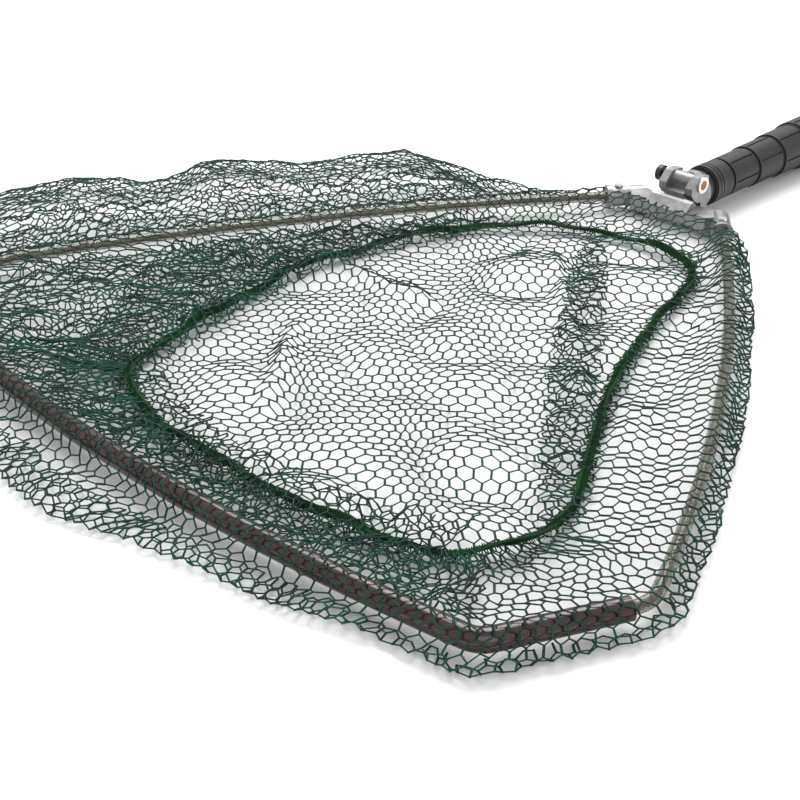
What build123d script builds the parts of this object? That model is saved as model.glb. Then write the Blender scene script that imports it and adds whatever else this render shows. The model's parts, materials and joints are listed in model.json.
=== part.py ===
from build123d import *
import os
from math import sin, cos, tan, radians, degrees, atan2

# Folding triangular landing net, lying flat with its handle collapsed.
# Row frame: origin on the table under the head, +Y along the handle to the butt, +Z up.

# Handle
AXIS_Z = 17.0                        # height of the handle axis above the table
OUTER_R, OUTER_BORE = 11.0, 10.0
MID_R, MID_BORE = 9.2, 8.4
INNER_R, INNER_BORE = 7.6, 6.8
OUTER_FRONT = 31.0                   # front end of the outer tube
MID_FRONT, MID_END = 20.0, 345.0
INNER_FRONT, INNER_END = 17.0, 338.0
MID_BUSH_LEN, INNER_BUSH_LEN = 18.0, 19.0
RUN = 0.07                           # radial running clearance of the telescoping sections
COLLAR_FRONT, GRIP_FRONT, GRIP_END = 24.0, 34.0, 350.0
GRIP_PITCH = 28.0                    # spacing of the ring grooves
GROOVE_DEPTH, GROOVE_WIDTH = 1.2, 2.2
GRIP_NOSE = 8.0                      # plain stretch before the first groove
GRIP_STEPS = (12.8, 13.6, 14.6, 16.0, 16.0, 16.0, 16.2, 16.4, 16.6, 16.8, 17.0)
GRIP_SLOTS = 6                       # long grooves between the raised panels, staggered from zone to zone
BUTT_LEN = 16.0
EYE_R, EYE_WIDTH = 3.0, 8.0
LUG_R = 7.0

# Head hinge
PIN_Y, PIN_Z, PIN_R = 6.0, 26.0, 3.0
TONGUE_HALF, EAR_HALF = 7.0, 12.4
SOCKET_R = 12.4
WASHER_R, BUTTON_STEM_R, BUTTON_R = 5.2, 2.0, 5.0
KNUCKLE_R = 5.0                      # round end of the yoke's tongue on the pin
WIRE_R, COIL_R, COIL_PITCH = 0.3, 1.4, 1.8
SPRING_FROM, SPRING_TO = -4.9, 5.9

# Hoop
TUBE_R, TUBE_BORE = 5.25, 4.05
BAR_Y, BEND_X, LEG, BEND_R = -407.0, 200.0, 63.5, 12.0
BAR_SLOPE, BAR_BOW_R = 8.5, 1200.0     # the front bar bows gently outward
HOOP_Z = 9.0
SLEEVE_R, SLEEVE_BORE, CORE_R = 3.25, 1.8, 1.7
PRONG_X, PRONG_Y, PRONG_R, PRONG_LEN = 44.0, -16.0, 6.4, 24.0
MOUTH_BEND_R = 20.0
ARM_END_HEADING = 22.0               # outward lean of the arm before the tube mouth
LEG_HEADING = -26.0                  # the tube's legs lean inward
PRONG_GRIP, TUBE_GRIP = 15.0, 24.0   # lengths of arm held in the prong and in the tube
FERRULE_LEN = 14.0
LIP_WIDTH, LIP_LEN = 0.8, 3.0        # raised rim at each prong's mouth
RIVET_R, RIVET_HEAD_R, RIVET_BACK = 1.55, 2.6, 8.0
RIVET_FOOT_Z = HOOP_Z + 3.4          # the rivet ends just above the arm's socket

# Net
NET_T = 1.2
SKIRT = 18.0
MOUND_H = 14.0
HEM_R, HEM_Z = 1.3, 3.2
# The hem's route, from the head down the right arm, along the front bar and back over the slack net
HEM_ROUTE = [
    (10, -50), (58, -66), (82, -138), (103, -194), (121, -231), (140, -263), (160, -299), (167, -324),
    (161, -350), (141, -372), (100, -383), (40, -388), (-30, -385), (-75, -366), (-88, -335), (-103, -264),
    (-108, -205), (-88, -122), (-45, -70),
]

os.makedirs("parts", exist_ok=True)
made = {}


def save(name, shape):
    shape.label = name
    made[name] = shape
    export_step(shape, f"parts/{name}.step")


def along_y(radius, y0, y1, z=AXIS_Z, x=0.0):
    plane = Plane(origin=(x, y0, z), x_dir=(1, 0, 0), z_dir=(0, 1, 0))
    return extrude(plane * Circle(radius), amount=y1 - y0)


def pipe(radius, bore, y0, y1):
    return along_y(radius, y0, y1) - along_y(bore, y0 - 1, y1 + 1)


def along_x(radius, x0, x1, y=PIN_Y, z=PIN_Z):
    plane = Plane(origin=(x0, y, z), x_dir=(0, 1, 0), z_dir=(1, 0, 0))
    return extrude(plane * Circle(radius), amount=x1 - x0)


def box(x0, x1, y0, y1, z0, z1):
    centre = ((x0 + x1) / 2, (y0 + y1) / 2, (z0 + z1) / 2)
    return Pos(*centre) * Box(x1 - x0, y1 - y0, z1 - z0)


def heading(angle, side=1):
    """Unit direction leaning outward from -Y by angle, in the hoop's plane."""
    return Vector(side * sin(radians(angle)), -cos(radians(angle)), 0)


def mirrored(shape):
    return mirror(shape, about=Plane.YZ)


# ---- handle: outer tube, grip, collar, butt cap
save("outer_tube", pipe(OUTER_R, OUTER_BORE, OUTER_FRONT, GRIP_END))

grip = along_y(GRIP_STEPS[0], GRIP_FRONT, GRIP_FRONT + GRIP_NOSE)
zone_start = GRIP_FRONT + GRIP_NOSE
for step, radius in enumerate(GRIP_STEPS):
    zone_end = zone_start + GRIP_PITCH
    grip += along_y(radius - GROOVE_DEPTH, zone_start, zone_start + GROOVE_WIDTH)
    panel = along_y(radius, zone_start + GROOVE_WIDTH, zone_end)
    for k in range(GRIP_SLOTS):
        turn = 360 / GRIP_SLOTS * (k + 0.5 * (step % 2))
        slot = Pos(radius, (zone_start + zone_end) / 2 + 1.5, 0) * Box(1.6, GRIP_PITCH - 4, 1.2)
        panel -= Pos(0, 0, AXIS_Z) * Rot(0, turn, 0) * slot
    grip += panel
    zone_start = zone_end
grip -= along_y(OUTER_R, GRIP_FRONT - 1, GRIP_END + 1)
save("grip", grip)

collar = along_y(13.0, COLLAR_FRONT + 1, GRIP_FRONT) + along_y(12.2, COLLAR_FRONT, COLLAR_FRONT + 1)
for y in (COLLAR_FRONT + 3.5, COLLAR_FRONT + 6.5):
    collar -= along_y(14, y, y + 0.9) - along_y(12.5, y, y + 0.9)
collar -= along_y(MID_R + RUN, COLLAR_FRONT - 1, OUTER_FRONT)
collar -= along_y(OUTER_R, OUTER_FRONT, GRIP_FRONT + 1)
save("front_collar", collar)

butt = along_y(16.8, GRIP_END, GRIP_END + BUTT_LEN - 6) + along_y(9.97, 346, GRIP_END)
eye_y = GRIP_END + BUTT_LEN - 2
lug = box(-EYE_WIDTH / 2, EYE_WIDTH / 2, GRIP_END + 4, eye_y, AXIS_Z - LUG_R, AXIS_Z + LUG_R)
lug += along_x(LUG_R, -EYE_WIDTH / 2, EYE_WIDTH / 2, y=eye_y, z=AXIS_Z)
butt = butt + lug - along_x(EYE_R, -20, 20, y=eye_y + 1.0, z=AXIS_Z)
save("butt_cap", butt)

# ---- telescoping sections
save("mid_tube", pipe(MID_R, MID_BORE, MID_FRONT, MID_END))
mid_collar = along_y(10.6, 18, COLLAR_FRONT - 0.2)
mid_collar -= along_y(INNER_R + RUN, INNER_FRONT, MID_FRONT) + along_y(MID_R, MID_FRONT, MID_FRONT + 5)
save("mid_collar", mid_collar)
save("mid_bush", pipe(OUTER_BORE - RUN, MID_R, MID_END - 1 - MID_BUSH_LEN, MID_END - 1))
save("inner_tube", pipe(INNER_R, INNER_BORE, INNER_FRONT, INNER_END))
save("inner_bush", pipe(MID_BORE - RUN, INNER_R, INNER_END - 1 - INNER_BUSH_LEN, INNER_END - 1))

# ---- head socket with its two ears
socket = along_y(SOCKET_R, 12, INNER_FRONT) + along_y(INNER_BORE - 0.02, INNER_FRONT, 48)
# Each cheek stays within 12 mm of the pin in front, so that the yoke sweeps past it
cheek_side = make_face(Polyline(
    (12.5, 7), (12.5, 30.5), (8, 31.4), (1, 31.4), (-4.6, 25.5), (-4.6, 21.5), (-1, 17.2), (3, 15), (6, 14.8),
    (6, 7), close=True))
for side in (-1, 1):
    x0, x1 = sorted((side * (TONGUE_HALF + 0.1), side * EAR_HALF))
    socket += extrude(Plane(origin=(x0, 0, 0), x_dir=(0, 1, 0), z_dir=(1, 0, 0)) * cheek_side, amount=x1 - x0)
socket -= along_x(PIN_R + 0.01, -20, 20)
save("head_socket", socket)

pin = along_x(PIN_R, -13.6, 13.6) - along_x(BUTTON_STEM_R + RUN, -14, 6)
save("hinge_pin", pin)
washer = along_x(WASHER_R, 12.45, 13.5) - along_x(PIN_R + 0.02, 12, 14)
save("hinge_washers", Compound(children=[washer, mirrored(washer)]))
save("lock_button", along_x(BUTTON_STEM_R, -16.6, -5) + along_x(BUTTON_R, -20.0, -16.6))
coil = Helix(pitch=COIL_PITCH, height=SPRING_TO - SPRING_FROM - 0.8, radius=COIL_R)
wire = Plane(origin=coil @ 0, z_dir=coil % 0) * Circle(WIRE_R)
spring = Pos(SPRING_FROM + 0.4, PIN_Y, PIN_Z) * Rot(0, 90, 0) * sweep(wire, path=coil, is_frenet=True)
save("button_spring", spring)

# ---- hoop geometry: the arm springs from the prong and turns into the tube's mouth
tip = Vector(BEND_X, BAR_Y, 0) - heading(LEG_HEADING) * LEG
turn = ARM_END_HEADING - LEG_HEADING
tangent = MOUTH_BEND_R * tan(radians(turn / 2))
corner = tip - heading(LEG_HEADING) * (tangent + 1)
arc_end = corner - heading(ARM_END_HEADING) * tangent
arc_start = Vector(PRONG_X, PRONG_Y, 0)
chord = arc_end - arc_start
chord_heading = degrees(atan2(chord.X, -chord.Y))
start_heading = 2 * chord_heading - ARM_END_HEADING
arc_radius = chord.length / 2 / sin(radians(start_heading - chord_heading))


def arm_path():
    lift = Vector(0, 0, HOOP_Z)
    start = arc_start + lift
    held = start - heading(start_heading) * PRONG_GRIP
    mouth = corner + heading(LEG_HEADING) * tangent + lift
    inside = mouth + heading(LEG_HEADING) * TUBE_GRIP
    bow = TangentArc(start, arc_end + lift, tangent=heading(start_heading))
    bend = TangentArc(arc_end + lift, mouth, tangent=heading(ARM_END_HEADING))
    return Wire([Line(held, start), bow, bend, Line(mouth, inside)])


def rod(path, radius):
    return sweep(Plane(origin=path @ 0, z_dir=path % 0) * Circle(radius), path=path)


path = arm_path()
sleeve = rod(path, SLEEVE_R) - rod(path, SLEEVE_BORE)
core = rod(path, CORE_R)
save("arm_sleeve_right", sleeve)
save("arm_sleeve_left", mirrored(sleeve))
save("arm_core_right", core)
save("arm_core_left", mirrored(core))

bar_peak = BAR_Y - BEND_X * tan(radians(BAR_SLOPE))
bar_half = [(tip.X, tip.Y, HOOP_Z), (BEND_X, BAR_Y, HOOP_Z)]
bar_points = bar_half + [(0, bar_peak, HOOP_Z)] + [(-x, y, z) for x, y, z in reversed(bar_half)]
bar_path = Wire(FilletPolyline(*bar_points, radius=(BEND_R, BAR_BOW_R, BEND_R)).edges())
save("front_tube", rod(bar_path, TUBE_R) - rod(bar_path, TUBE_BORE))

ferrule_at = tip + heading(LEG_HEADING) * 0.5 + Vector(0, 0, HOOP_Z)
ferrule_ring = Circle(TUBE_BORE - 0.05) - Circle(SLEEVE_R + 0.05)
ferrule = extrude(Plane(origin=ferrule_at, z_dir=heading(LEG_HEADING)) * ferrule_ring, amount=FERRULE_LEN)
save("tube_ferrule_right", ferrule)
save("tube_ferrule_left", mirrored(ferrule))

# ---- cast yoke: tongue on the pin, flat foot, two splayed prongs round a shallow crotch
tongue = along_x(KNUCKLE_R, -TONGUE_HALF, TONGUE_HALF)
tongue += box(-TONGUE_HALF, TONGUE_HALF, PIN_Y - 5, PIN_Y + 2, 12, PIN_Z)
tongue += box(-TONGUE_HALF, TONGUE_HALF, -6, 2, 3, PIN_Z - 4)
foot = box(-9, 9, -7, 0, 0, 14)
web = Polyline(
    (-9, 0), (9, 0), (27, 4), (34, -4), (28, -12), (0, -7), (-28, -12), (-34, -4), (-27, 4), close=True)
plate = Pos(0, 0, 4) * extrude(make_face(web), amount=10)
facet_side = make_face(Polyline((0, 13), (-6, 19), (-8, 18), (-14, 13), close=True))
facet = extrude(Plane(origin=(-15, 0, 0), x_dir=(0, 1, 0), z_dir=(1, 0, 0)) * facet_side, amount=30)
yoke = tongue + foot + plate + facet
mouth_at = arc_start + Vector(0, 0, HOOP_Z)
out = heading(start_heading)
prong = extrude(Plane(origin=mouth_at - out * PRONG_LEN, z_dir=out) * Circle(PRONG_R), amount=PRONG_LEN)
lip = extrude(Plane(origin=mouth_at, z_dir=-out) * Circle(PRONG_R + LIP_WIDTH), amount=LIP_LEN)
yoke += prong + mirrored(prong) + lip + mirrored(lip)
arm_hole = Plane(origin=mouth_at + out, z_dir=-out) * Circle(SLEEVE_R + 0.05)
socket_hole = extrude(arm_hole, amount=PRONG_GRIP + 1.2)
rivet_at = arc_start - out * RIVET_BACK


def upright(radius, z, height):
    """A round stud standing at the rivet's place."""
    stud = Cylinder(radius, height, align=(Align.CENTER, Align.CENTER, Align.MIN))
    return Pos(rivet_at.X, rivet_at.Y, z) * stud


rivet_hole = upright(RIVET_R + 0.05, RIVET_FOOT_Z, 6)
yoke -= socket_hole + mirrored(socket_hole) + rivet_hole + mirrored(rivet_hole)
yoke -= along_x(PIN_R + 0.06, -20, 20)
save("yoke", yoke)

rivet = upright(RIVET_R, RIVET_FOOT_Z, PRONG_R - 3.0) + upright(RIVET_HEAD_R, HOOP_Z + PRONG_R, 1.2)
save("prong_rivets", Compound(children=[rivet, mirrored(rivet)]))

# ---- net: bag lying slack under the hoop, heaped on the far side, with a cord in its hem
bow = TangentArc(arc_start, arc_end, tangent=heading(start_heading))
bar_middle = BAR_Y - 16
leg = Polyline(arc_end, tip, (BEND_X, BAR_Y), (0, bar_middle))
half_hoop = make_face([bow, leg, Line((0, bar_middle), (0, PRONG_Y)), Line((0, PRONG_Y), arc_start)])
hoop_outline = half_hoop + mirrored(half_hoop)
skirt = offset(hoop_outline, amount=SKIRT) - Rectangle(180, 64)
far_spill = Pos(-205, -235) * Ellipse(185, 160)
front_spill = Pos(-40, -402) * Ellipse(190, 62)
bag = extrude(skirt + far_spill + front_spill, amount=NET_T)
mound = (Pos(-250, -222) * Ellipse(115, 105)) - offset(hoop_outline, amount=8)
bag += extrude(mound, amount=MOUND_H, taper=25)
save("net_bag", bag)


hem_path = Wire([Spline([(x, y, HEM_Z) for x, y in HEM_ROUTE], periodic=True)])
save("net_hem", rod(hem_path, HEM_R))

total = Compound(children=[Compound(s.solids()) for s in made.values()]).bounding_box()
print(len(made), "nodes", [round(v, 1) for v in (*total.min, *total.max)])
for name, shape in made.items():
    print(name, len(shape.solids()), round(shape.volume, 1), shape.is_valid)
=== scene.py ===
import json
import math
import bpy
import numpy as np
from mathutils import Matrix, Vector


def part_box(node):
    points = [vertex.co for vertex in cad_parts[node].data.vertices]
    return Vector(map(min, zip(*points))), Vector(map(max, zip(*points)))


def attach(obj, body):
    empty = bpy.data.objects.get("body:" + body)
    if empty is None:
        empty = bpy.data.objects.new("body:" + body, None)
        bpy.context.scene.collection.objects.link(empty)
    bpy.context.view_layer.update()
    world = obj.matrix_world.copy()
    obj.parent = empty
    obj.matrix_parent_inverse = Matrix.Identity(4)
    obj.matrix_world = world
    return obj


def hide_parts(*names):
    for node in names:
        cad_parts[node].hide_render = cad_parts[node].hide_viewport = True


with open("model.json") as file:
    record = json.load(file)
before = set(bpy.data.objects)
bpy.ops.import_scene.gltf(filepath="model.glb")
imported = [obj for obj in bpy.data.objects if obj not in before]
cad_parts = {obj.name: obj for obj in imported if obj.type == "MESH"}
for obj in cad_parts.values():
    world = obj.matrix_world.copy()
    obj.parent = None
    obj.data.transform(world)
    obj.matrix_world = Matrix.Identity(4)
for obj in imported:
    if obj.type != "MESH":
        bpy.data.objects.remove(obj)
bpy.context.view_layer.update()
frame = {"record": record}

MM = 0.001

# ---- places taken from the frame
tube_lo, tube_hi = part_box("front_tube")
yoke_lo, yoke_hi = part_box("yoke")
arm_lo, arm_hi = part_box("arm_sleeve_right")
TUBE_R = (tube_hi[2] - tube_lo[2]) / 2
ARM_R = (arm_hi[2] - arm_lo[2]) / 2
HOOP_Z = (tube_hi[2] + tube_lo[2]) / 2
# What a box can't tell, repeated from the CAD: the bows of bar and arms, and the places of bends and prongs
BAR_BOW, ARM_BOW = 0.0155, 0.0125
BEND_INSET, ARM_BEND_RUN = 0.028, 0.012
PRONG_INSET = np.array([-0.0045, 0.005])
BAR_Y = tube_lo[1] + TUBE_R + BAR_BOW
TIP_X, TIP_Y = tube_hi[0] - TUBE_R, tube_hi[1] - TUBE_R / 2
PRONG = np.array([yoke_hi[0], yoke_lo[1]]) + PRONG_INSET
BEND_X = TIP_X - BEND_INSET

# ---- netting
THREAD_R = 0.41 * MM
LINK_R = 0.56 * MM
CELL_W = 6.8 * MM
ROW_PITCH = 6.2 * MM
ZIG = 1.1 * MM
HOOP_ROUND = 1.33                    # rough length round the hoop, which sets the number of columns
LOWEST = 0.7 * MM                    # no thread's middle lies lower above the table
HEM_HIGH, STITCH_R = 5.2 * MM, 0.34 * MM
VIEW_HEADING, VIEW_PITCH = math.radians(134.7), math.radians(29.4)
# The hem's route on the table, in metres, as in the CAD: down the right arm, along the front bar and back
HEM_ROUTE = [
    (0.010, -0.050), (0.058, -0.066), (0.082, -0.138), (0.103, -0.194), (0.121, -0.231),
    (0.140, -0.263), (0.160, -0.299), (0.167, -0.324), (0.161, -0.350), (0.141, -0.372),
    (0.100, -0.383), (0.040, -0.388), (-0.030, -0.385), (-0.075, -0.366), (-0.088, -0.335),
    (-0.103, -0.264), (-0.108, -0.205), (-0.088, -0.122), (-0.045, -0.070),
]
rng = np.random.default_rng(7)


def bezier(p0, p1, p2, n):
    t = np.linspace(0, 1, n)[:, None]
    return (1 - t) ** 2 * np.array(p0) + 2 * t * (1 - t) * np.array(p1) + t ** 2 * np.array(p2)


def resample(points, n, closed=True):
    """n points evenly spaced along a polyline."""
    pts = np.vstack([points, points[:1]]) if closed else np.array(points)
    run = np.r_[0, np.cumsum(np.linalg.norm(np.diff(pts, axis=0), axis=1))]
    at = np.linspace(0, run[-1], n, endpoint=not closed)
    return np.stack([np.interp(at, run, pts[:, k]) for k in range(pts.shape[1])], 1)


def hoop_outline(n):
    """The hoop's centre line seen from above, from the head round by the right arm."""
    tip = np.array([arm_hi[0] - ARM_R, TIP_Y + ARM_BEND_RUN])
    chord = tip - PRONG
    outward = np.array([-chord[1], chord[0]]) / np.linalg.norm(chord)
    control = (PRONG + tip) / 2 + outward * 2 * ARM_BOW
    corner = [[TIP_X, TIP_Y]]
    bar = bezier((BEND_X, BAR_Y), (0, BAR_Y - 2 * BAR_BOW), (-BEND_X, BAR_Y), 41)[:21]
    right = np.vstack([[[0, PRONG[1] + 0.004]], bezier(PRONG, control, tip, 30), corner, bar])
    left = right[-2::-1] * [-1, 1]
    return resample(np.vstack([right, left[:-1]]), n)


def smooth_closed(values, width):
    kernel = np.hanning(width)
    kernel /= kernel.sum()
    tiled = np.concatenate([values] * 3)
    return np.convolve(tiled, kernel, "same")[len(values):2 * len(values)]


def waves(x, y, seed, scale, count=7):
    """Smooth repeatable noise, about -1 to 1, from a few crossing sine waves."""
    r = np.random.default_rng(seed)
    total = np.zeros_like(x)
    for _ in range(count):
        a, k, p = r.uniform(0, 2 * np.pi), r.uniform(0.6, 1.8) / scale, r.uniform(0, 2 * np.pi)
        total += np.sin((x * np.cos(a) + y * np.sin(a)) * 2 * np.pi * k + p)
    return total / math.sqrt(count)


def thread_mesh(name, a, b, radius):
    """Four-sided threads along the edges a-b."""
    d = b - a
    length = np.linalg.norm(d, axis=1, keepdims=True)
    d = d / np.maximum(length, 1e-9)
    up = np.where(np.abs(d[:, 2:3]) > 0.9, [[1.0, 0, 0]], [[0, 0, 1.0]])
    side = np.cross(d, up)
    side /= np.linalg.norm(side, axis=1, keepdims=True)
    lift = np.cross(side, d)
    a, b = a - d * radius[:, None] * 0.5, b + d * radius[:, None] * 0.5
    ring = []
    for end in (a, b):
        for k in range(4):
            c, s = math.cos(math.pi / 2 * k), math.sin(math.pi / 2 * k)
            ring.append(end + (side * c + lift * s) * radius[:, None])
    verts = np.stack(ring, 1).reshape(-1, 3)
    base = np.arange(len(a))[:, None, None] * 8
    quads = np.array([[k, (k + 1) % 4, 4 + (k + 1) % 4, 4 + k] for k in range(4)])
    faces = (base + quads[None]).reshape(-1, 4)
    mesh = bpy.data.meshes.new(name)
    mesh.vertices.add(len(verts))
    mesh.vertices.foreach_set("co", verts.ravel())
    mesh.loops.add(faces.size)
    mesh.loops.foreach_set("vertex_index", faces.ravel().astype(np.int32))
    mesh.polygons.add(len(faces))
    mesh.polygons.foreach_set("loop_start", np.arange(0, faces.size, 4, dtype=np.int32))
    mesh.update(calc_edges=True)
    mesh.validate()
    mesh.shade_smooth()
    ob = bpy.data.objects.new(name, mesh)
    bpy.context.collection.objects.link(ob)
    return ob


def hex_lattice(columns, rows, wrap=False):
    """Zigzag rows joined by short links: each point's column, row and parity, and the edges as pairs."""
    j, i = np.meshgrid(np.arange(rows), np.arange(columns), indexing="ij")
    up = ((i + j) % 2 == 0)
    index = j * columns + i
    last = columns if wrap else columns - 1
    zig_a = index[:, :last].ravel()
    zig_b = index[:, (np.arange(last) + 1) % columns].ravel()
    keep = up[:-1]
    link_a, link_b = index[:-1][keep], index[1:][keep]
    return i.ravel(), j.ravel(), up.ravel(), (zig_a, zig_b), (link_a, link_b)


def net_piece(name, points, inside, zig, link, parts=1):
    """Threads for the edges whose two ends are both inside; split so that no piece grows too large."""
    ends_a = np.concatenate([zig[0], link[0]])
    ends_b = np.concatenate([zig[1], link[1]])
    radius = np.concatenate([np.full(len(zig[0]), THREAD_R), np.full(len(link[0]), LINK_R)])
    keep = inside[ends_a] & inside[ends_b]
    ends_a, ends_b, radius = ends_a[keep], ends_b[keep], radius[keep]
    pieces = []
    for k, chunk in enumerate(np.array_split(np.arange(len(ends_a)), parts)):
        label = name if parts == 1 else f"{name}_{k + 1}"
        pieces.append(thread_mesh(label, points[ends_a[chunk]], points[ends_b[chunk]], radius[chunk]))
    return pieces


COLUMNS = 2 * round(HOOP_ROUND / CELL_W)
outline = hoop_outline(COLUMNS)
ahead = np.roll(outline, -2, 0) - np.roll(outline, 2, 0)
normal = np.stack([ahead[:, 1], -ahead[:, 0]], 1)
normal /= np.linalg.norm(normal, axis=1, keepdims=True)
if np.sum(normal * (outline - outline.mean(0))) < 0:
    normal = -normal
normal = np.stack([smooth_closed(normal[:, k], 15) for k in range(2)], 1)
normal /= np.linalg.norm(normal, axis=1, keepdims=True)


def closed_curve(route, n):
    """A smooth closed curve through the route's points."""
    p = np.array(route)
    t = np.linspace(0, 1, 12, endpoint=False)[None, :, None]
    a, b, c, d = (np.roll(p, k, 0)[:, None] for k in (1, 0, -1, -2))
    square, cube = 2 * a - 5 * b + 4 * c - d, 3 * b - a - 3 * c + d
    curve = 0.5 * (2 * b + (c - a) * t + square * t ** 2 + cube * t ** 3)
    return resample(curve.reshape(-1, 2), n)


hem_line = closed_curve(HEM_ROUTE, 600)
gap = np.linalg.norm(outline[:, None] - hem_line[None], axis=2)
to_hem = np.stack([smooth_closed((hem_line[gap.argmin(1)] - outline)[:, k], 21) for k in range(2)], 1)
inset = np.linalg.norm(to_hem, axis=1)


def spill_width():
    """How far the net lies outside the hoop: little on the right, more in front, most on the left."""
    x, y = outline.T
    left = np.clip(-x / 0.12, 0, 1) * np.clip((y - BAR_Y) / 0.06, 0, 1) * np.clip((-0.03 - y) / 0.06, 0, 1)
    front = np.clip(1 - (y - BAR_Y) / 0.02, 0, 1) * np.clip((0.17 - x) / 0.26, 0, 1)
    width = 5 * MM + 105 * MM * left + 42 * MM * front
    width *= 1 + 0.16 * np.sin(np.arange(COLUMNS) * 2 * np.pi / 31) + 0.1 * np.sin(np.arange(COLUMNS) / 3.1)
    return smooth_closed(width, 27)


def draped_profile(k, width, top):
    """From the hem, up over the hoop, down and out over the table, and folded back under: outward and up."""
    ripple = math.sin(k * 0.33) + 0.6 * math.sin(k * 0.83 + 1)
    puff = (2.5 + 1.6 * ripple) * MM + 0.10 * max(width - 0.03, 0)
    gap = inset[k]
    knots = np.array([
        [-gap, 5.5 * MM], [-gap * 0.6, 6.5 * MM + ripple * 2.2 * MM], [-min(gap * 0.25, 0.012), top * 0.8],
        [-0.003, top], [0.003, top], [0.0075, top * 0.75], [0.0095, 4 * MM + puff * 0.3],
        [0.010 + 0.35 * width, 3 * MM + puff * 1.2], [0.009 + 0.8 * width, 3.5 * MM + puff * 0.8],
        [0.009 + width, 2.6 * MM], [0.006 + width, 1.2 * MM], [max(0.45 * width, width - 0.022), 1.1 * MM],
    ])
    for _ in range(2):
        cut = np.empty((2 * len(knots) - 2, 2))
        cut[0::2] = 0.75 * knots[:-1] + 0.25 * knots[1:]
        cut[1::2] = 0.25 * knots[:-1] + 0.75 * knots[1:]
        knots = np.vstack([knots[:1], cut, knots[-1:]])
    return knots


def drape():
    """The part of the net that passes over the hoop and lies round it."""
    widths = spill_width()
    tops = np.where(outline[:, 1] < TIP_Y + 0.002, HOOP_Z + TUBE_R, HOOP_Z + ARM_R) + 1.3 * MM
    tops = smooth_closed(tops, 9)
    profiles, lengths = [], []
    for k in range(COLUMNS):
        p = draped_profile(k, widths[k], tops[k])
        run = np.r_[0, np.cumsum(np.linalg.norm(np.diff(p, axis=0), axis=1))]
        profiles.append((run, p))
        lengths.append(run[-1])
    rows = int(max(lengths) / ROW_PITCH) + 2
    i, j, up, zig, link = hex_lattice(COLUMNS, rows, wrap=True)
    t = j * ROW_PITCH + np.where(up, ZIG, -ZIG) + waves(i * CELL_W / 2, j * ROW_PITCH, 3, 0.05) * 1.2 * MM
    out, high = np.zeros(len(i)), np.zeros(len(i))
    for k in range(COLUMNS):
        mine = i == k
        run, p = profiles[k]
        out[mine], high[mine] = np.interp(t[mine], run, p[:, 0]), np.interp(t[mine], run, p[:, 1])
    inside = (t < np.array(lengths)[i]) & (t >= 0)
    shift = waves(outline[i, 0], t, 11, 0.06) * (1.5 * MM + inset[i] * 0.045)
    along = np.stack([-normal[i, 1], normal[i, 0]], 1)
    inward = to_hem / inset[:, None]
    side = np.where(out[:, None] > 0, normal[i], -inward[i])
    flat = outline[i] + side * out[:, None] + along * shift[:, None]
    high = high + np.abs(waves(flat[:, 0], flat[:, 1], 5, 0.03)) * 1.3 * MM
    points = np.column_stack([flat, np.maximum(high, 0.8 * MM)]) + rng.normal(0, 0.25 * MM, (len(i), 3))
    points[:, 2] = np.maximum(points[:, 2], LOWEST)
    return net_piece("net_drape", points, inside, zig, link, parts=2)


def inside_loop(points, loop):
    x, y = points.T
    hit = np.zeros(len(points), bool)
    for (x0, y0), (x1, y1) in zip(loop, np.roll(loop, -1, 0)):
        cross = ((y0 > y) != (y1 > y)) & (x < (x1 - x0) * (y - y0) / (y1 - y0 + 1e-12) + x0)
        hit ^= cross
    return hit


def flat_net(name, loop, height, seed, turn=0.0, crowd=1.0, hole=None):
    """A layer of net filling a loop, less a hole, height(x, y) above the table."""
    centre, half = loop.mean(0), np.ptp(loop, axis=0).max() * 0.95
    columns, rows = int(4 * half / (CELL_W * crowd)), int(2 * half / (ROW_PITCH * crowd))
    i, j, up, zig, link = hex_lattice(columns, rows)
    u = i * CELL_W * crowd / 2 - half
    v = j * ROW_PITCH * crowd + np.where(up, ZIG, -ZIG) * crowd - half
    u, v = u + waves(u, v, seed, 0.09) * 3.2 * MM, v + waves(u, v, seed + 1, 0.08) * 3.2 * MM
    angle = VIEW_HEADING - math.pi / 2 + turn
    x = centre[0] + u * math.cos(angle) - v * math.sin(angle)
    y = centre[1] + u * math.sin(angle) + v * math.cos(angle)
    inside = inside_loop(np.column_stack([x, y]), loop)
    if hole is not None:
        inside &= ~inside_loop(np.column_stack([x, y]), hole)
    points = np.column_stack([x, y, height(x, y)]) + rng.normal(0, 0.22 * MM, (len(x), 3))
    points[:, 2] = np.maximum(points[:, 2], LOWEST)
    return net_piece(name, points, inside, zig, link)


def ridge(x, y, start, end, width, height):
    """A soft fold standing up along a line from start to end."""
    start, end = np.array(start), np.array(end)
    d = end - start
    length = np.linalg.norm(d)
    d = d / length
    run = (x - start[0]) * d[0] + (y - start[1]) * d[1]
    off = (x - start[0]) * -d[1] + (y - start[1]) * d[0]
    ends = np.clip(run / 0.02, 0, 1) * np.clip((length - run) / 0.02, 0, 1)
    return height * np.exp(-(off / width) ** 2) * ends


# Folds standing up from the net's floor: between which two of the hem's points, over what part of that way
FOLDS = [(17, 15, 0, 1), (15, 14, 0, 0.9), (16, 3, 0, 0.45), (16, 11, 0.3, 0.85), (18, 5, 0.15, 0.95)]


def between(first, second, part):
    """A place on the straight way from one of the hem's points to another."""
    return np.array(HEM_ROUTE[first]) * (1 - part) + np.array(HEM_ROUTE[second]) * part


def floor_height(x, y):
    high = 1.6 * MM + np.abs(waves(x, y, 21, 0.085)) * 4.2 * MM
    for first, second, begin, finish in FOLDS:
        start, end = between(first, second, begin), between(first, second, finish)
        high += ridge(x, y, start, end, 0.0055, 6.5 * MM)
    return np.minimum(high, 14 * MM)


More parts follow.
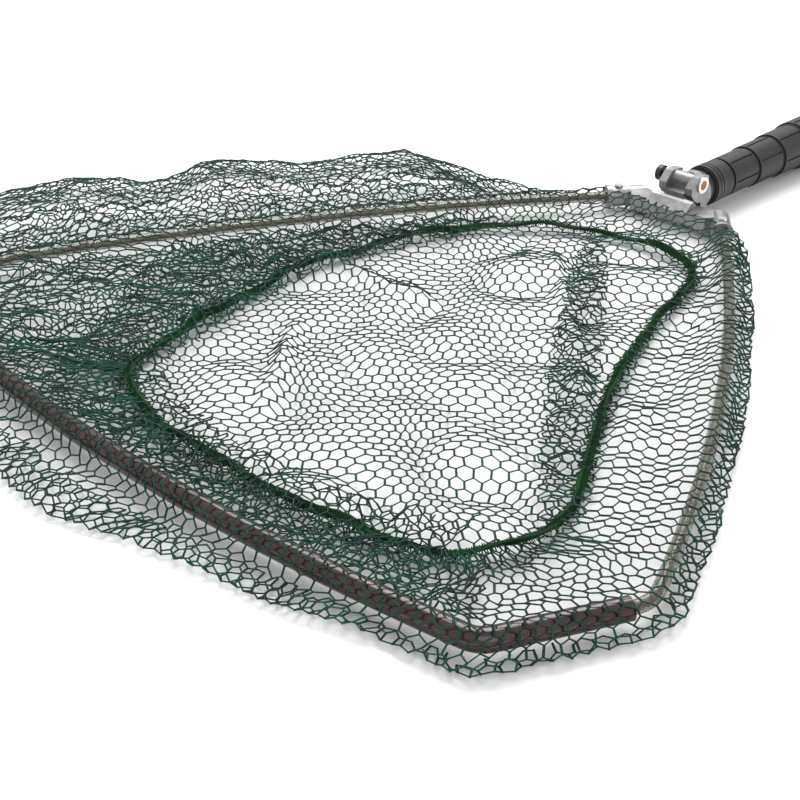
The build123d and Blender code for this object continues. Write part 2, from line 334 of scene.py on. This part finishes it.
def floor_net():
    loop = hem_line.mean(0) + (hem_line[::5] - hem_line.mean(0)) * 1.07
    return flat_net("net_floor", loop, floor_height, 31)


def bulk_height(x, y):
    return 4 * MM + np.abs(waves(x, y, 41, 0.035)) * 4.0 * MM


def roll_height(x, y):
    return 9 * MM + waves(x, y, 44, 0.02) * 2.5 * MM


def strip(inner, outer):
    """The closed loop between two lines that run the same way."""
    return resample(np.vstack([inner, outer[::-1]]), 120)


def gather():
    """Slack net bunched between the hem and the hoop, in front and on the left."""
    centre = hem_line.mean(0)
    along_front = hem_line[len(hem_line) * 7 // len(HEM_ROUTE):len(hem_line) * 17 // len(HEM_ROUTE)]
    behind_tube = outline[np.linalg.norm(outline[:, None] - along_front[None], axis=2).argmin(0)]
    inner, outer = centre + (along_front - centre) * 0.88, centre + (behind_tube - centre) * 0.95
    return flat_net("net_gather", strip(inner, outer), bulk_height, 51, turn=0.5, crowd=0.92)


def pleat():
    """A doubled band across the mouth, from the head to the near front corner."""
    way = np.linspace(0, 1, 30)[:, None]
    start, end = between(18, 0, 0.5), np.array(HEM_ROUTE[7])
    middle = start * (1 - way) + end * way
    across = np.array([-(end - start)[1], (end - start)[0]]) / np.linalg.norm(end - start)
    half = across * (0.004 + 0.010 * np.sin(way * np.pi) ** 0.5)
    return flat_net("net_pleat", strip(middle - half, middle + half), bulk_height, 54, turn=1.1, crowd=0.85)


def tangle():
    """One more layer inside the hoop, outside the hem, on the left and in front."""
    front_bar = (outline[:, 1] < BAR_Y + TUBE_R) & (outline[:, 0] > 0)
    left_and_front = outline[((outline[:, 0] < 0) | front_bar) & (outline[:, 1] < HEM_ROUTE[18][1])]
    middle = hem_line.mean(0) * [0, 1]
    loop = middle + (left_and_front - middle) * 0.96
    return flat_net("net_tangle", loop, bulk_height, 57, turn=-0.7, crowd=0.9, hole=hem_line[::6])


def far_layers():
    """What lies beyond the left arm: a second layer next to it, and a roll of net half way out."""
    far = (outline[:, 0] < -0.06) & (outline[:, 1] > TIP_Y) & (outline[:, 1] < HEM_ROUTE[18][1])
    width = spill_width()[:, None]
    near_side, far_side = (outline + normal * 0.010)[far], (outline + normal * (0.010 + 0.42 * width))[far]
    pieces = flat_net("net_heap_1", strip(near_side, far_side), bulk_height, 70, turn=-0.3, crowd=0.95)
    roll_in, roll_out = (outline + normal * (0.50 * width))[far], (outline + normal * (0.58 * width))[far]
    pieces += flat_net("net_roll", strip(roll_in, roll_out), roll_height, 81, turn=0.9, crowd=0.6)
    return pieces


def hem():
    """The thick green edge of the net: a limp flat band that rolls and twists as it goes round."""
    centre = closed_curve(HEM_ROUTE, 480)
    k = np.arange(len(centre))
    high = HEM_HIGH + (1.1 * np.sin(k * 2 * np.pi / 40) + 0.7 * np.sin(k * 2 * np.pi / 17.1)) * MM
    ahead = np.roll(centre, -1, 0) - np.roll(centre, 1, 0)
    ahead /= np.linalg.norm(ahead, axis=1, keepdims=True)
    side = np.column_stack([-ahead[:, 1], ahead[:, 0], np.zeros(len(k))])
    twist = 0.7 * np.sin(k * 2 * np.pi / 80) + 0.5 * np.sin(k * 2 * np.pi / 32)
    ring = 14
    verts = []
    for m in range(ring):
        a = 2 * np.pi * m / ring
        across = 2.3 * MM * np.cos(a) * (1 + 0.10 * np.sin(k * 1.7 + m))
        thick = 1.1 * MM * np.sin(a) * (1 + 0.15 * np.sin(k * 2.3 + 2 * m))
        out = across * np.cos(twist) - thick * np.sin(twist)
        rise = across * np.sin(twist) + thick * np.cos(twist)
        verts.append(np.column_stack([centre, high]) + side * out[:, None] + np.outer(rise, [0, 0, 1]))
    verts = np.stack(verts, 1).reshape(-1, 3)
    count = len(k)
    faces = []
    for n in range(count):
        here, there = n * ring, (n + 1) % count * ring
        for m in range(ring):
            faces.append((here + m, here + (m + 1) % ring, there + (m + 1) % ring, there + m))
    mesh = bpy.data.meshes.new("net_hem_band")
    mesh.from_pydata(verts.tolist(), [], faces)
    mesh.shade_smooth()
    ob = bpy.data.objects.new("net_hem_band", mesh)
    bpy.context.collection.objects.link(ob)
    return ob


def hem_stitches():
    """Short threads that wrap the hem and tie it to the mesh."""
    centre = closed_curve(HEM_ROUTE, 900)
    k = np.arange(len(centre))
    ahead = np.roll(centre, -1, 0) - np.roll(centre, 1, 0)
    ahead /= np.linalg.norm(ahead, axis=1, keepdims=True)
    side = np.column_stack([-ahead[:, 1], ahead[:, 0]])
    high = HEM_HIGH + (1.1 * np.sin(k * 2 * np.pi / 75) + 0.7 * np.sin(k * 2 * np.pi / 32.1)) * MM
    start = np.column_stack([centre + side * rng.uniform(1.5, 4.2, len(k))[:, None] * MM, high - 0.6 * MM])
    crest = np.column_stack([centre + ahead * 0.8 * MM, high + rng.uniform(1.3, 2.0, len(k)) * MM])
    end = np.column_stack([centre - side * rng.uniform(1.5, 4.2, len(k))[:, None] * MM, high - 0.6 * MM])
    a, b = np.vstack([start, crest]), np.vstack([crest, end])
    return thread_mesh("net_hem_stitches", a, b, np.full(len(a), STITCH_R))


# ---- materials
def material(name, colour, rough, metallic=0.0, bump=None, colour2=None, scale=60.0, **shader):
    """A principled material: two colours mixed by noise, with noise in its roughness and its surface."""
    mat = bpy.data.materials.new(name)
    mat.use_nodes = True
    nodes, links = mat.node_tree.nodes, mat.node_tree.links
    principled = nodes["Principled BSDF"]
    principled.inputs["Metallic"].default_value = metallic
    for key, value in shader.items():
        principled.inputs[key.replace("_", " ")].default_value = value
    where = nodes.new("ShaderNodeTexCoord")
    noise = nodes.new("ShaderNodeTexNoise")
    noise.inputs["Scale"].default_value = scale
    noise.inputs["Detail"].default_value = 6
    links.new(where.outputs["Object"], noise.inputs["Vector"])
    ramp = nodes.new("ShaderNodeValToRGB")
    ramp.color_ramp.elements[0].position, ramp.color_ramp.elements[1].position = 0.38, 0.62
    ramp.color_ramp.elements[0].color = (*colour, 1)
    ramp.color_ramp.elements[1].color = (*(colour2 or colour), 1)
    links.new(noise.outputs["Fac"], ramp.inputs["Fac"])
    links.new(ramp.outputs["Color"], principled.inputs["Base Color"])
    spread = nodes.new("ShaderNodeMapRange")
    spread.inputs["To Min"].default_value = rough * 0.8
    spread.inputs["To Max"].default_value = min(rough * 1.2, 1)
    links.new(noise.outputs["Fac"], spread.inputs["Value"])
    links.new(spread.outputs["Result"], principled.inputs["Roughness"])
    if bump:
        kind, size, strength, distance = bump
        texture = nodes.new({"noise": "ShaderNodeTexNoise", "wave": "ShaderNodeTexWave",
                             "voronoi": "ShaderNodeTexVoronoi"}[kind])
        texture.inputs["Scale"].default_value = size
        links.new(where.outputs["Object"], texture.inputs["Vector"])
        raise_ = nodes.new("ShaderNodeBump")
        raise_.inputs["Strength"].default_value = strength
        raise_.inputs["Distance"].default_value = distance
        links.new(texture.outputs[0], raise_.inputs["Height"])
        links.new(raise_.outputs["Normal"], principled.inputs["Normal"])
    return mat


MATERIALS = {
    "tube_metal": material(
        "tube_metal", (0.62, 0.63, 0.66), 0.28, 1.0, ("noise", 900, 0.1, 1e-4), (0.7, 0.71, 0.73)),
    "grip_rubber": material(
        "grip_rubber", (0.011, 0.011, 0.012), 0.5, 0.0, ("voronoi", 700, 0.35, 3e-4), (0.02, 0.02, 0.021)),
    "black_plastic": material(
        "black_plastic", (0.018, 0.018, 0.02), 0.35, 0.0, ("noise", 1500, 0.12, 1e-4), (0.028, 0.028, 0.03)),
    "bush_plastic": material(
        "bush_plastic", (0.6, 0.6, 0.56), 0.45, 0.0, ("noise", 800, 0.1, 1e-4), (0.66, 0.66, 0.62)),
    "cast_head": material(
        "cast_head", (0.24, 0.24, 0.245), 0.42, 0.85, ("noise", 420, 0.3, 4e-4), (0.36, 0.36, 0.365)),
    "pin_brass": material(
        "pin_brass", (0.30, 0.13, 0.05), 0.38, 1.0, ("noise", 700, 0.15, 1e-4), (0.38, 0.18, 0.08)),
    "steel": material(
        "steel", (0.7, 0.7, 0.71), 0.2, 1.0, ("noise", 1200, 0.1, 1e-4), (0.8, 0.8, 0.8)),
    "clear_sleeve": material(
        "clear_sleeve", (0.44, 0.42, 0.36), 0.16, 0.0, ("noise", 200, 0.08, 2e-4), (0.54, 0.52, 0.45),
        Transmission_Weight=0.85, IOR=1.4),
    "rod_tan": material(
        "rod_tan", (0.25, 0.17, 0.10), 0.4, 0.0, ("noise", 500, 0.2, 1e-4), (0.34, 0.25, 0.15)),
    "tube_red_brown": material(
        "tube_red_brown", (0.020, 0.007, 0.006), 0.26, 0.0, ("noise", 300, 0.08, 1e-4), (0.034, 0.010, 0.008),
        Coat_Weight=0.35, Coat_Roughness=0.08),
    "netting": material(
        "netting", (0.002, 0.022, 0.015), 0.62, 0.0, ("noise", 2500, 0.5, 2e-4), (0.005, 0.062, 0.040),
        Specular_IOR_Level=0.3),
    "hem_cord": material(
        "hem_cord", (0.002, 0.022, 0.006), 0.8, 0.0, ("noise", 1400, 0.9, 8e-4), (0.008, 0.052, 0.012),
        Specular_IOR_Level=0.25),
}
for entry in frame["record"]["subparts"]:
    node = bpy.data.objects.get(entry["node"])
    for slot in node.material_slots:
        slot.material = MATERIALS[entry["material_slot"]]

# ---- pieces
net = drape() + floor_net() + gather() + pleat() + tangle() + far_layers()
for piece in net:
    piece.data.materials.append(MATERIALS["netting"])
    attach(piece, "hoop")
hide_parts("net_bag")
band = hem()
band.data.materials.append(MATERIALS["hem_cord"])
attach(band, "hoop")
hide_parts("net_hem")
stitches = hem_stitches()
stitches.data.materials.append(MATERIALS["hem_cord"])
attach(stitches, "hoop")

# ---- stage
bpy.ops.mesh.primitive_plane_add(size=12, location=(0, 0, -0.0004))
ground = bpy.context.object
ground.name = "ground"
ground.data.materials.append(material("ground", (0.86, 0.86, 0.86), 0.6, 0.0, None, (0.88, 0.88, 0.88), 5))


def area_light(name, place, size, power):
    light = bpy.data.lights.new(name, "AREA")
    light.size, light.energy = size, power
    ob = bpy.data.objects.new(name, light)
    ob.location = place
    ob.rotation_euler = (Vector((0, -0.2, 0)) - Vector(place)).to_track_quat("-Z", "Y").to_euler()
    bpy.context.collection.objects.link(ob)


area_light("key", (-0.6, 0.5, 1.4), 1.2, 26)
area_light("fill", (1.3, -1.2, 1.2), 1.6, 10)
world = bpy.data.worlds.new("studio")
bpy.context.scene.world = world
world.use_nodes = True
world.node_tree.nodes["Background"].inputs["Color"].default_value = (1, 1, 1, 1)
world.node_tree.nodes["Background"].inputs["Strength"].default_value = 0.8

bpy.context.scene.view_settings.view_transform = "Standard"

# ---- camera: about 30 degrees down, looking across the hoop from its near front corner
camera = bpy.data.objects.new("camera", bpy.data.cameras.new("camera"))
camera.data.lens, camera.data.sensor_width = 67.5, 36
camera.data.clip_start = 0.01
camera.location = (0.493, -0.745, 0.365)
gaze = Vector((math.cos(VIEW_HEADING), math.sin(VIEW_HEADING), -math.tan(VIEW_PITCH)))
camera.rotation_euler = gaze.to_track_quat("-Z", "Y").to_euler()
bpy.context.collection.objects.link(camera)
bpy.context.scene.camera = camera
